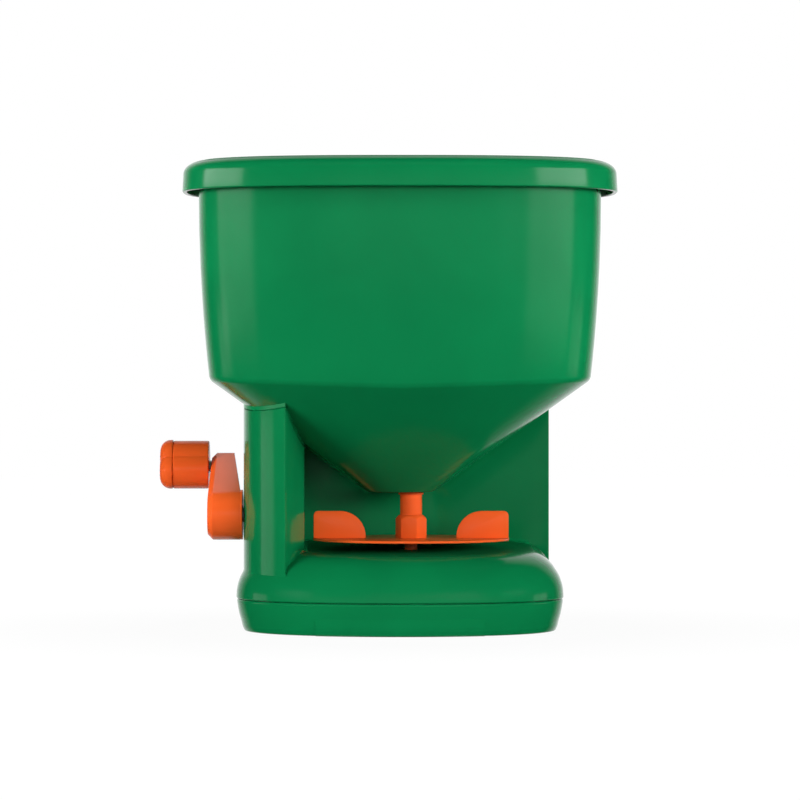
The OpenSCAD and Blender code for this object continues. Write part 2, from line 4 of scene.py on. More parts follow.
import bmesh
import bpy
from bpy.props import FloatProperty, FloatVectorProperty, PointerProperty
from bpy.types import Operator, Panel, PropertyGroup
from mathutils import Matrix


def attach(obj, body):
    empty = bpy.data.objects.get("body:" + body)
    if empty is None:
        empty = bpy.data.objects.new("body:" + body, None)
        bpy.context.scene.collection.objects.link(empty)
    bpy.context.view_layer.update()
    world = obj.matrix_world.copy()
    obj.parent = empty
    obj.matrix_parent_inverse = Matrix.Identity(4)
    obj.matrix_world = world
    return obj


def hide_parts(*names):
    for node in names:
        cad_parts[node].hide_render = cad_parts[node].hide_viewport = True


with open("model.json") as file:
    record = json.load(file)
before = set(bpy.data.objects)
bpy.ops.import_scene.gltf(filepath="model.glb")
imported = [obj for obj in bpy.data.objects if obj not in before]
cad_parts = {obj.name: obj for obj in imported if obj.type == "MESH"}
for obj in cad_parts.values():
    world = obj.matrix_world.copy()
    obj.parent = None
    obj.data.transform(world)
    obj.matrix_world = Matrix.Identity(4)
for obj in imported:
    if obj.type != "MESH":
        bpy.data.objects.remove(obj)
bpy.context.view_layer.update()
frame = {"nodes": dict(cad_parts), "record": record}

bl_info = {
    "name": "Hand Crank Spreader",
    "version": (1, 0, 0),
    "blender": (4, 5, 0),
    "location": "View3D > Sidebar > Spreader",
    "description": "Dresses the hand crank spreader: moulded shells, crank, impeller, handle and studio",
    "category": "Add Mesh",
}

# Corner steps of a plan, and the squareness of the base's plan in front and behind
PLAN_STEPS = 28
FRONT_SQUARE = 2.2
REAR_SQUARE = 6.0

# The mouth over the deck: its open ends, and where its back wall turns forward and by how much
MOUTH_FRONT = -0.09
MOUTH_RIGHT = 0.095
BACK_TURN = 0.02
BACK_DROP = 0.0092

# The handle's half heights at its upper bridge, grip and lower bridge
BRIDGE_HALF = 0.0095
GRIP_HALF = 0.011
FOOT_HALF = 0.006
FOOT_STEP = 0.002

# The studio camera, level and straight ahead of the part
CAMERA_SPOT = (0.0, -2.062, 0.1187)
CAMERA_LENS = 179.6
CAMERA_SENSOR = 36.0

# The softboxes at the sides: how far off they stand, where, and their heights, sizes and watts
SIDE_REACH = 1.2
SIDE_TURNS = (("left", -1, 79.0), ("right", 1, 64.0))
SIDE_BOXES = (("_high_box", 0.44, (1.0, 0.32), 7.2), ("_tall_box", 0.16, (1.0, 0.24), 1.04))
FILL_AIM = (0, 0, 0.12)

# Lamps that light without a mirror image: name, spot, size, watts and the pieces they light
FILLS = (
    ("front_box", (0.35, -2.3, 0.42), (2.0, 0.4), 9.7, None),
    ("left_side_fill", (-1.6, -0.6, 0.34), (0.8, 0.3), 16.5, None),
    ("right_side_fill", (1.6, -0.5, 0.34), (0.8, 0.3), 14.0, None),
    ("right_front_fill", (1.1, -1.7, 0.38), (0.6, 0.3), 6.0, None),
    ("rim_box", (0.0, -1.2, 1.5), (1.4, 0.6), 8.0, "hopper_light"),
    ("base_box", (0.9, -1.8, 0.4), (1.2, 0.5), 12.5, "base_light"),
    ("column_fill", (-1.5, -0.9, 0.3), (0.8, 0.4), 10.5, "base_light"),
    ("arm_fill", (-1.2, -0.5, 1.2), (0.9, 0.7), 10.0, "crank_light"),
    ("orange_fill", (-0.3, -2.0, 0.3), (0.6, 0.3), 10.0, "orange_light"),
    ("back_fill", (-0.6, 2.4, 0.7), (1.6, 0.6), 16.0, None),
)


def length(name, default, words):
    return FloatProperty(name=name, description=words, default=default, min=0.0,
                         subtype="DISTANCE", unit="LENGTH")


def place(name, default, words):
    return FloatProperty(name=name, description=words, default=default, subtype="DISTANCE", unit="LENGTH")


def angle(name, default, words):
    return FloatProperty(name=name, description=words, default=math.radians(default),
                         subtype="ANGLE", unit="ROTATION")


def number(name, default, words):
    return FloatProperty(name=name, description=words, default=default)


def colour(name, default, words):
    return FloatVectorProperty(name=name, description=words, default=default, size=3,
                               min=0.0, max=1.0, subtype="COLOR")


class HopperSizes(PropertyGroup):
    rim_w: length("Rim half width", 0.112, "Half width of the rolled rim")
    rim_d: length("Rim half depth", 0.078, "Half depth of the rolled rim")
    rim_top: length("Rim top", 0.2409, "Height of the rim's top")
    rim_roll: length("Rim roll", 0.0092, "How far the rim's top edge rolls over")
    rim_low: length("Rim low edge", 0.2253, "Height of the rim band's lower edge")
    wall_w: length("Wall half width", 0.1036, "Half width of the wall under the rim")
    wall_d: length("Wall half depth", 0.0696, "Half depth of the wall under the rim")
    crease_w: length("Crease half width", 0.0981, "Half width where the wall turns into the funnel")
    crease_d: length("Crease half depth", 0.0665, "Half depth where the wall turns into the funnel")
    crease_z: length("Crease height", 0.1255, "Height of the crease at the front")
    crease_rise: length("Crease rise", 0.0036, "How much higher the crease runs at the sides")
    nozzle_w: length("Nozzle half width", 0.0176, "Half width of the funnel's lower mouth")
    nozzle_d: length("Nozzle half depth", 0.016, "Half depth of the funnel's lower mouth")
    nozzle_z: length("Nozzle height", 0.071, "Height of the funnel's lower mouth")
    floor_z: length("Floor height", 0.0785, "Height of the hopper's floor")
    square: number("Squareness", 2.8, "Exponent of the rounded plan")


class BodySizes(PropertyGroup):
    base_w: length("Base half width", 0.0844, "Half width of the base at its waist")
    front: length("Front reach", 0.068, "How far the base reaches forward")
    rear: length("Rear reach", 0.0747, "How far the base reaches back")
    waist_z: length("Waist height", 0.0183, "Height where the shoulder starts")
    seam_z: length("Seam height", 0.0164, "Height of the shadow seam")
    deck_z: length("Deck height", 0.04, "Height of the deck at its front edge")
    deck_tilt: angle("Deck tilt", 2.2, "How much the deck rises to the back")
    shoulder: length("Shoulder width", 0.02, "How far the shoulder rolls inwards")
    tower_in: length("Tower step", 0.0037, "Step from the waist in to the tower")
    column_in: length("Column step", 0.0022, "Step from the waist in to the front of the column")
    wall: length("Wall", 0.0024, "Moulded wall thickness")
    pad_w: length("Pad half width", 0.0425, "Half width of the low pad on the pan's front")
    pad_t: length("Pad height", 0.001, "How far the pad stands proud of the pan")
    saddle_z: length("Saddle height", 0.131, "Top of the tower behind the hopper")
    back_y: length("Back wall", 0.058, "Face of the mouth's back wall")
    column_x: place("Column face", -0.0515, "Inner face of the gear column at the back wall")
    cheek_x: place("Cheek edge", -0.0489, "Edge of the column's slanted cheek")
    cheek_y: place("Cheek edge depth", -0.021, "Where that edge stands, in front of the middle")
    cheek_slant: angle("Cheek slant", 18.0, "Slant of the cheek")


class CrankSizes(PropertyGroup):
    axis_z: length("Axis height", 0.0595, "Height of the crank's axis")
    throw: length("Throw", 0.0518, "Distance from the axis to the knob")
    lean: angle("Lean", 28.0, "Lean of the arm up from straight back")
    hub_r: length("Hub radius", 0.013, "Radius of the arm's hub")
    tip_r: length("Tip radius", 0.007, "Radius of the arm's far end")
    face_x: place("Outer face", -0.0992, "Outer face of the arm")
    hub_x: place("Hub inner face", -0.0812, "Inner face of the hub")
    knob_d: length("Knob width", 0.0267, "Width across the knob's lobes")


class ImpellerSizes(PropertyGroup):
    axis_x: place("Axis", 0.0057, "Spindle axis, to the right of the middle")
    disc_r: length("Disc radius", 0.05065, "Radius of the disc")
    disc_z: length("Disc top", 0.0475, "Height of the disc's face")
    disc_t: length("Disc thickness", 0.0013, "Thickness of the disc")
    blade_z: length("Blade top", 0.0614, "Height of the blades")
    blade_r: length("Blade start", 0.0234, "Radius where a blade starts")
    blade_t: length("Blade thickness", 0.0018, "Thickness of a blade")
    hub_r: length("Hub radius", 0.0082, "Hub radius over its corners")
    hub_turn: angle("Hub turn", -9.3, "Turn of the six sided hub")


class HandleSizes(PropertyGroup):
    grip_w: length("Grip half width", 0.013, "Half width of the grip")
    grip_y: length("Grip axis", 0.113, "How far back the grip stands")
    top_z: length("Upper bridge", 0.117, "Height of the upper bridge")
    low_z: length("Lower bridge", 0.0092, "Height of the lower bridge")
    bend: length("Bend radius", 0.02, "Radius of the loop's bends")


class Finishes(PropertyGroup):
    green: colour("Green plastic", (0.0024, 0.172, 0.053), "Colour of the moulded housing")
    orange: colour("Orange plastic", (0.90, 0.118, 0.019), "Colour of the crank and impeller")
    nylon: colour("Natural nylon", (0.72, 0.70, 0.63), "Colour of the gears")
    steel: colour("Plated steel", (0.55, 0.56, 0.58), "Colour of shafts and screws")
    bronze: colour("Sintered bronze", (0.50, 0.33, 0.13), "Colour of the bushes")
    # The deck bush is near black as painted shade for the dark under the disc, not as its own colour
    bush: colour("Deck bush", (0.012, 0.02, 0.015), "Colour of the shade-painted bush in the deck")
    floor: colour("Floor", (0.86, 0.86, 0.86), "Colour of the floor")


# Picking and editing


def object_mode():
    if bpy.context.object and bpy.context.object.mode != "OBJECT":
        bpy.ops.object.mode_set(mode="OBJECT")


def only(*objs):
    object_mode()
    bpy.ops.object.select_all(action="DESELECT")
    for obj in objs:
        obj.select_set(True)
    bpy.context.view_layer.objects.active = objs[0]


def fresh(name, add, **where):
    object_mode()
    bpy.ops.object.select_all(action="DESELECT")
    add(**where)
    obj = bpy.context.object
    obj.name = name
    bpy.ops.object.transform_apply(location=True, rotation=True, scale=True)
    return obj


def edit(obj):
    only(obj)
    bpy.ops.object.mode_set(mode="EDIT")
    bpy.ops.mesh.select_all(action="SELECT")


def choose(kind, test):
    """Pick the parts of the edited mesh that pass the test."""
    mesh = bpy.context.edit_object.data
    bpy.ops.mesh.select_mode(type=kind)
    bpy.ops.mesh.select_all(action="DESELECT")
    shape = bmesh.from_edit_mesh(mesh)
    parts = {"VERT": shape.verts, "EDGE": shape.edges, "FACE": shape.faces}[kind]
    for part in [part for part in parts if test(part)]:
        part.select_set(True)
    bmesh.update_edit_mesh(mesh)


def round_edges(test, width, segments):
    """Bevel the edges of the edited mesh that pass the test."""
    choose("EDGE", test)
    bpy.ops.mesh.bevel(offset=width, segments=segments, affect="EDGES", clamp_overlap=False)


def push(*way):
    """Extrude the picked face straight along a way."""
    bpy.ops.mesh.extrude_region_move(TRANSFORM_OT_translate={"value": way})


def middle(edge):
    return (edge.verts[0].co + edge.verts[1].co) / 2


def run(edge):
    return edge.verts[1].co - edge.verts[0].co


def modify(obj, kind, **values):
    only(obj)
    mod = obj.modifiers.new(kind.title(), kind)
    for key, value in values.items():
        setattr(mod, key, value)
    bpy.ops.object.modifier_apply(modifier=mod.name)


def carve(obj, tool, how="DIFFERENCE"):
    modify(obj, "BOOLEAN", object=tool, operation=how, solver="EXACT")
    bpy.data.objects.remove(tool)
    tidy(obj)


def tidy(obj, gap=0.00002):
    edit(obj)
    bpy.ops.mesh.remove_doubles(threshold=gap)
    bpy.ops.mesh.normals_make_consistent(inside=False)
    object_mode()


def weld(obj, *more):
    only(obj, *more)
    bpy.ops.object.join()


def soften(obj, width, segments=3, sharp=35.0):
    modify(obj, "BEVEL", width=width, segments=segments, limit_method="ANGLE",
           angle_limit=math.radians(sharp), use_clamp_overlap=True, miter_outer="MITER_ARC")


def dress(obj, body, slot, material, *nodes, smooth=32.0):
    """Shade a finished piece and tell the frame its body and the solids it stands for. The slot is not used.
    """
    only(obj)
    bpy.ops.object.shade_smooth_by_angle(angle=math.radians(smooth))
    obj.data.materials.clear()
    obj.data.materials.append(material)
    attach(obj, body)
    if nodes:
        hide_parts(*nodes)


# Plans and skins


def soft_plan(name, half_w, front, rear, square_front, square_rear, z):
    """A flat plan with rounded corners of its own squareness in front and behind."""
    obj = fresh(name, bpy.ops.mesh.primitive_plane_add, size=2.0)
    edit(obj)
    for side, square in ((-1, square_front), (1, square_rear)):
        choose("VERT", lambda v: v.co.y * side > 0.9 and abs(v.co.x) > 0.9)
        bpy.ops.mesh.bevel(offset=0.9995, affect="VERTICES", segments=PLAN_STEPS,
                           profile=0.5 ** (2.0 / square))
    bpy.ops.mesh.select_all(action="SELECT")
    bpy.ops.mesh.remove_doubles(threshold=0.003)
    for side, reach in ((-1, front), (1, rear)):
        choose("VERT", lambda v: v.co.y * side > 0.002)
        bpy.ops.transform.resize(value=(1, reach, 1), center_override=(0, 0, 0))
    bpy.ops.mesh.select_mode(type="FACE")
    bpy.ops.mesh.select_all(action="SELECT")
    bpy.ops.transform.resize(value=(half_w, 1, 1), center_override=(0, 0, 0))
    bpy.ops.transform.translate(value=(0, 0, z))
    return obj


def corner_plan(name, points):
    """A flat plan whose corners are moved to their places one by one."""
    obj = fresh(name, bpy.ops.mesh.primitive_circle_add, vertices=len(points), radius=1.0, fill_type="NGON")
    starts = [v.co.copy() for v in obj.data.vertices]
    edit(obj)
    for index, (start, point) in enumerate(zip(starts, points)):
        choose("VERT", lambda v: v.index == index)
        bpy.ops.transform.translate(value=tuple(to - was for to, was in zip(point, start)))
    bpy.ops.mesh.select_mode(type="FACE")
    bpy.ops.mesh.select_all(action="SELECT")
    return obj


class Skin:
    """Grows a closed skin ring by ring from the flat plan that is being edited."""

    def __init__(self, half_w, half_d, z, mid=0.0):
        self.half_w, self.half_d, self.z, self.mid = half_w, half_d, z, mid

    def ring(self, half_w, half_d, z, soft=0.0, rise=0.0):
        push(0, 0, z - self.z)
        bpy.ops.transform.resize(value=(half_w / self.half_w, half_d / self.half_d, 0),
                                 center_override=(0, self.mid, z))
        bpy.ops.transform.edge_bevelweight(value=-1.0)
        if soft:
            bpy.ops.transform.edge_bevelweight(value=soft)
        self.half_w, self.half_d, self.z = half_w, half_d, z
        if rise:
            reach = 0.998 * half_w
            choose("VERT", lambda v: abs(v.co.x) > reach and abs(v.co.z - z) < 1e-5)
            bpy.ops.transform.translate(value=(0, 0, rise), use_proportional_edit=True,
                                        use_proportional_connected=True, proportional_edit_falloff="SMOOTH",
                                        proportional_size=1.3 * half_w)
            choose("FACE", lambda f: len(f.verts) > 40 and f.calc_center_median().z > z - 1e-4)


def base_skin(b, name, inset, z):
    """Start a skin on the base's plan, set in from its waist."""
    obj = soft_plan(name, b.base_w - inset, b.front - inset, b.rear - inset, FRONT_SQUARE, REAR_SQUARE, z)
    return obj, Skin(b.base_w - inset, (b.rear + b.front) / 2 - inset, z, (b.rear - b.front) / 2)


def base_ring(skin, b, inset, z):
    skin.ring(b.base_w - inset, (b.rear + b.front) / 2 - inset, z)


def funnel_block(s, drop, grow):
    """The funnel's outer skin as a solid, lowered and grown, to trim what meets it."""
    w, d = s.nozzle_w + grow, s.nozzle_d + grow
    obj = soft_plan("funnel_block", w, d, d, s.square, s.square, s.nozzle_z + drop)
    skin = Skin(w, d, s.nozzle_z + drop)
    skin.ring(s.crease_w + grow, s.crease_d + grow, s.crease_z + drop, rise=s.crease_rise)
    skin.ring(s.crease_w + grow + 0.0015, s.crease_d + grow + 0.0012, 0.16)
    tidy(obj)
    return obj


def tower_block(b, inset, low, high):
    """The tower's plan as a solid, set in by inset."""
    step = b.tower_in + inset
    obj = soft_plan("tower_block", b.base_w - step, b.front - b.column_in - inset, b.rear - step,
                    FRONT_SQUARE, REAR_SQUARE, low)
    push(0, 0, high - low)
    tidy(obj)
    return obj


def mouth_block(b, grow, low, high):
    """The open space over the deck, as a tool that clears it."""
    back = b.back_y + grow
    cheek_front = b.cheek_x + (MOUTH_FRONT - b.cheek_y) * math.tan(b.cheek_slant)
    points = ((cheek_front - grow, MOUTH_FRONT, low), (MOUTH_RIGHT, MOUTH_FRONT, low),
              (MOUTH_RIGHT, back - BACK_DROP, low), (BACK_TURN, back, low), (b.column_x - grow, back, low),
              (b.cheek_x - grow, b.cheek_y, low))
    obj = corner_plan("mouth_block", points)
    push(0, 0, high - low)
    tidy(obj)
    return obj


def rod(name, start, along, size, radius, sides=48):
    """A straight round bar or bore from start, along x, y or z."""
    turn = {"x": (0, math.pi / 2, 0), "y": (math.pi / 2, 0, 0), "z": (0, 0, 0)}[along]
    step = {"x": (size / 2, 0, 0), "y": (0, size / 2, 0), "z": (0, 0, size / 2)}[along]
    spot = tuple(a + b for a, b in zip(start, step))
    return fresh(name, bpy.ops.mesh.primitive_cylinder_add, vertices=sides, radius=radius, depth=size,
                 location=spot, rotation=turn)


def bar(name, low, high):
    """A square bar or slot between two corners."""
    spot = tuple((a + b) / 2 for a, b in zip(low, high))
    return fresh(name, bpy.ops.mesh.primitive_cube_add, size=1.0, location=spot,
                 scale=tuple(b - a for a, b in zip(low, high)))


# Finishes


def add_node(nodes, kind, operation=None, **values):
    """Add a shader node and set its named inputs, with _ for a space."""
    made = nodes.new("ShaderNode" + kind)
    if operation:
        made.operation = operation
    for name, value in values.items():
        made.inputs[name.replace("_", " ")].default_value = value
    return made


def skin_group():
    """Moulded skin: faint flow marks in colour and gloss, a fine ripple, and level tops dulled by use."""
    group = bpy.data.node_groups.get("Moulded skin")
    if group:
        return group
    group = bpy.data.node_groups.new("Moulded skin", "ShaderNodeTree")
    for name in ("Flow scale", "Ripple scale", "Gloss low", "Gloss high", "Top wear"):
        group.interface.new_socket(name, in_out="INPUT", socket_type="NodeSocketFloat")
    for name in ("Flow", "Roughness", "Height"):
        group.interface.new_socket(name, in_out="OUTPUT", socket_type="NodeSocketFloat")
    nodes, links = group.nodes, group.links
    inlet, outlet = nodes.new("NodeGroupInput"), nodes.new("NodeGroupOutput")
    where = add_node(nodes, "TexCoord")
    flow = add_node(nodes, "TexNoise", Detail=3.0, Distortion=0.6)
    ripple = add_node(nodes, "TexNoise", Detail=2.0)
    gloss = add_node(nodes, "MapRange")
    facing = add_node(nodes, "SeparateXYZ")
    worn = add_node(nodes, "MapRange", From_Min=0.9, From_Max=0.995)
    dull = add_node(nodes, "Math", "ADD")
    for noise, scale in ((flow, "Flow scale"), (ripple, "Ripple scale")):
        links.new(where.outputs["Object"], noise.inputs["Vector"])
        links.new(inlet.outputs[scale], noise.inputs["Scale"])
    links.new(flow.outputs["Fac"], gloss.inputs["Value"])
    links.new(inlet.outputs["Gloss low"], gloss.inputs["To Min"])
    links.new(inlet.outputs["Gloss high"], gloss.inputs["To Max"])
    links.new(flow.outputs["Fac"], outlet.inputs["Flow"])
    links.new(where.outputs["Normal"], facing.inputs[0])
    links.new(facing.outputs["Z"], worn.inputs["Value"])
    links.new(inlet.outputs["Top wear"], worn.inputs["To Max"])
    links.new(gloss.outputs["Result"], dull.inputs[0])
    links.new(worn.outputs["Result"], dull.inputs[1])
    links.new(dull.outputs["Value"], outlet.inputs["Roughness"])
    links.new(ripple.outputs["Fac"], outlet.inputs["Height"])
    return group


def finish(name, tint, spread=0.08, metal=0.0, gloss=(0.2, 0.3), shine=0.26, flow=14.0,
           ripple=260.0, bump=0.02, depth=0.0002, wear=0.0):
    """A material whose colour, gloss and surface vary through the moulded skin group."""
    made = bpy.data.materials.get(name)
    if made:
        return made
    made = bpy.data.materials.new(name)
    made.use_nodes = True
    nodes, links = made.node_tree.nodes, made.node_tree.links
    shader = nodes["Principled BSDF"]
    shader.inputs["Metallic"].default_value = metal
    shader.inputs["Specular IOR Level"].default_value = shine
    skin = nodes.new("ShaderNodeGroup")
    skin.node_tree = skin_group()
    for socket, value in zip(skin.inputs, (flow, ripple, *gloss, wear)):
        socket.default_value = value
    ramp = add_node(nodes, "ValToRGB")
    ramp.color_ramp.elements[0].position = 0.3
    ramp.color_ramp.elements[1].position = 0.7
    ramp.color_ramp.elements[0].color = (*(c * (1 - spread) for c in tint), 1.0)
    ramp.color_ramp.elements[1].color = (*(min(1.0, c * (1 + spread)) for c in tint), 1.0)
    rise = add_node(nodes, "Bump", Strength=bump, Distance=depth)
    links.new(skin.outputs["Flow"], ramp.inputs["Fac"])
    links.new(ramp.outputs["Color"], shader.inputs["Base Color"])
    links.new(skin.outputs["Roughness"], shader.inputs["Roughness"])
    links.new(skin.outputs["Height"], rise.inputs["Height"])
    links.new(rise.outputs["Normal"], shader.inputs["Normal"])
    return made


def green_plastic():
    return finish("moulded_green", bpy.context.scene.spreader_finish.green, gloss=(0.1, 0.14), wear=0.3)


def satin_green():
    return finish("satin_green", bpy.context.scene.spreader_finish.green, gloss=(0.14, 0.18),
                  shine=0.16, wear=0.4)


def orange_plastic():
    return finish("moulded_orange", bpy.context.scene.spreader_finish.orange, gloss=(0.22, 0.3))


def lit_group(name):
    """The pieces that some lamps light alone, as flags would in a studio."""
    return bpy.data.collections.get(name) or bpy.data.collections.new(name)


# Pieces


class SPREADER_OT_hopper(Operator):
    """Shape the hopper: nozzle, funnel, wall, rolled rim and inner skin, with a collar over the column"""
    bl_idname = "spreader.hopper"
    bl_label = "Hopper"

    def execute(self, context):
        s, b = context.scene.spreader_hopper, context.scene.spreader_body
        # The floor's under side, down the nozzle, then up the funnel and the bowed wall
        skirt_w, skirt_d, under = s.nozzle_w - 0.0022, s.nozzle_d - 0.0022, s.floor_z - 0.0025
        obj = soft_plan("hopper_skin", skirt_w, skirt_d, skirt_d, s.square, s.square, under)
        skin = Skin(skirt_w, skirt_d, under)
        skin.ring(skirt_w, skirt_d, s.nozzle_z, soft=0.06)
        skin.ring(s.nozzle_w, s.nozzle_d, s.nozzle_z, soft=0.12)
        skin.ring(s.crease_w, s.crease_d, s.crease_z, soft=0.3, rise=s.crease_rise)
        for part in (0.1, 0.2, 0.32, 0.46, 0.6, 0.8, 1.0):
            bow = 1 - (1 - part) ** 2
            skin.ring(s.crease_w + (s.wall_w - s.crease_w) * bow, s.crease_d + (s.wall_d - s.crease_d) * bow,
                      s.crease_z + s.crease_rise + (s.rim_low - s.crease_z - s.crease_rise) * part)
        # Up inside the rim band, round its lower edge and over its rolled top
        skin.ring(s.wall_w + 0.0004, s.wall_d + 0.0004, s.rim_top - 0.0034, soft=0.1)
        skin.ring(s.rim_w - 0.0027, s.rim_d - 0.0027, s.rim_top - 0.0044, soft=0.1)
        skin.ring(s.rim_w - 0.0022, s.rim_d - 0.0022, s.rim_low, soft=0.08)
        skin.ring(s.rim_w, s.rim_d, s.rim_low, soft=0.12)
        for turn in range(0, 91, 10):
            t = math.radians(turn)
            step = 0.0005 + s.rim_roll * (1 - math.cos(t))
            skin.ring(s.rim_w - step, s.rim_d - step, s.rim_top - 0.0064 * (1 - math.sin(t)))
        # Down the inner side to the floor
        skin.ring(s.wall_w - 0.0015, s.wall_d - 0.0015, s.rim_top - 0.0003, soft=0.1)
        skin.ring(s.wall_w - 0.0023, s.wall_d - 0.0023, s.rim_low)
        skin.ring(0.5 * (s.wall_w + s.crease_w) - 0.0011, 0.5 * (s.wall_d + s.crease_d) - 0.0014,
                  0.5 * (s.rim_low + s.crease_z))
        skin.ring(s.crease_w - 0.0023, s.crease_d - 0.0015, s.crease_z + 0.0013, soft=0.4, rise=s.crease_rise)
        skin.ring(0.0245, 0.0203, s.floor_z, soft=0.25)
        object_mode()
        modify(obj, "BEVEL", width=0.0065, segments=6, limit_method="WEIGHT", use_clamp_overlap=False)
        tidy(obj)
        # Openings in the floor, and the way that the flow gate slides in
        axis_x = context.scene.spreader_impeller.axis_x
        carve(obj, rod("spindle_hole", (axis_x, 0, 0.06), "z", 0.03, 0.005))
        carve(obj, bar("drop_port", (-0.012, -0.008, 0.06), (-0.004, 0.006, 0.09)))
        carve(obj, bar("gate_way", (-0.0152, 0.0054, 0.06), (0.0172, 0.0254, under - 0.00001)))
        # The collar that closes the funnel onto the gear column
        collar = tower_block(b, 0.0, 0.092, b.saddle_z)
        carve(collar, mouth_block(b, 0.0, 0.08, 0.15))
        carve(collar, bar("collar_back", (-0.15, 0.05, 0.08), (0.15, 0.15, 0.15)))
        carve(collar, bar("collar_right", (0.0, -0.15, 0.08), (0.15, 0.15, 0.15)))
        carve(collar, funnel_block(s, -0.0018, 0.00005), how="INTERSECT")
        carve(collar, funnel_block(s, 0.0012, -0.00005))
        weld(obj, collar)
        obj.name = "hopper_skin"
        dress(obj, "housing", "green_plastic", satin_green(), "hopper")
        lit_group("hopper_light").objects.link(obj)
        return {"FINISHED"}


class SPREADER_OT_body(Operator):
    """Shape the gear tower, back wall, deck and shoulder as one hollow moulding"""
    bl_idname = "spreader.body"
    bl_label = "Tower and deck"

    def execute(self, context):
        b, s = context.scene.spreader_body, context.scene.spreader_hopper
        obj, skin = base_skin(b, "body_skin", 0.0004, b.seam_z + 0.0004)
        base_ring(skin, b, 0.0, b.seam_z + 0.0008)
        # The shoulder rolls in to the deck, and its upper rings share the deck's tilt
        tilted = (44, 54, 64, 74, 82, 90)
        rise = b.deck_z - b.waist_z
        for turn in (0, 8, 16, 24, 31) + tilted:
            t = math.radians(turn)
            base_ring(skin, b, b.shoulder * (1 - math.cos(t)), b.waist_z + rise * math.sin(t))
        for turn in tilted:
            low = b.waist_z + rise * math.sin(math.radians(turn)) - 0.0001
            choose("VERT", lambda v: v.co.z > low)
            bpy.ops.transform.rotate(value=-b.deck_tilt / len(tilted), orient_axis="X",
                                     center_override=(0, b.shoulder - b.front, b.deck_z))
        tidy(obj)
        # The tower with its open mouth, its upright edges rounded
        tower = tower_block(b, 0.0, 0.024, b.saddle_z)
        carve(tower, mouth_block(b, 0.0, 0.01, 0.2))
        edit(tower)
        round_edges(lambda e: self.corner(e) and middle(e).x > 0.06, 0.002, 5)
        round_edges(lambda e: self.corner(e) and middle(e).y < -0.03, 0.0007, 4)
        round_edges(lambda e: self.upright(e) and abs(middle(e).x - b.cheek_x) < 1e-4, 0.001, 4)
        object_mode()
        carve(obj, tower, how="UNION")
        # Hollow the deck and the tower
        inner, skin = base_skin(b, "inner_space", b.wall, 0.015)
        for turn in (0, 18, 36, 54, 72, 90):
            t = math.radians(turn)
            base_ring(skin, b, b.wall + (b.shoulder - b.wall) * (1 - math.cos(t)),
                      b.waist_z + (b.deck_z - b.wall - b.waist_z) * math.sin(t))
        tidy(inner)
        carve(obj, inner)
        hollow = tower_block(b, b.wall, 0.03, b.saddle_z - b.wall)
        carve(hollow, mouth_block(b, b.wall, 0.01, 0.2))
        carve(obj, hollow)
        # The funnel's seat, the bores and the gate's slot
        carve(obj, funnel_block(s, -0.0021, 0.0003))
        c, m = context.scene.spreader_crank, context.scene.spreader_impeller
        carve(obj, rod("crank_bore", (-0.09, 0, c.axis_z), "x", 0.02, 0.0055))
        carve(obj, rod("deck_bore", (m.axis_x, 0, 0.03), "z", 0.02, 0.0055))
        carve(obj, bar("gate_slot", (0.0089, b.back_y - 0.003, 0.0726), (0.0166, 0.09, 0.0754)))
        tidy(obj, 0.0001)
        self.fillet(obj, b)
        obj.name = "body_skin"
        dress(obj, "housing", "green_plastic", green_plastic(), "body_shell", smooth=25.0)
        lit_group("base_light").objects.link(obj)
        return {"FINISHED"}

    def upright(self, edge):
        return abs(run(edge).z) > 0.08

    def corner(self, edge):
        return self.upright(edge) and edge.calc_face_angle() > 0.7

    def fillet(self, obj, b):
        """Round the inside corners where the walls meet the deck and the shoulder."""
        def on_mouth(v):
            back = (b.column_x - b.cheek_x) / (b.back_y - b.cheek_y)
            slope = math.tan(b.cheek_slant) if v.co.y < b.cheek_y else back
            line = b.cheek_x + (v.co.y - b.cheek_y) * slope
            at_column = abs(v.co.x - line) < 0.0012 and v.co.y < b.back_y + 0.001
            rear = b.back_y - max(0.0, v.co.x - BACK_TURN) * BACK_DROP / (MOUTH_RIGHT - BACK_TURN)
            at_back = abs(v.co.y - rear) < 0.0012 and v.co.x > b.column_x - 0.001
            at_corner = abs(v.co.x - b.column_x) < 0.006 and abs(v.co.y - b.back_y) < 0.006
            return at_column or at_back or at_corner

        edit(obj)
        round_edges(lambda e: abs(run(e).z) < 0.6 * run(e).length and all(
            0.029 < v.co.z < 0.0447 and on_mouth(v) for v in e.verts), 0.0026, 4)
        round_edges(lambda e: abs(run(e).z) < 0.3 * run(e).length and all(
            0.0302 < v.co.z < 0.032 for v in e.verts), 0.0012, 3)
        object_mode()


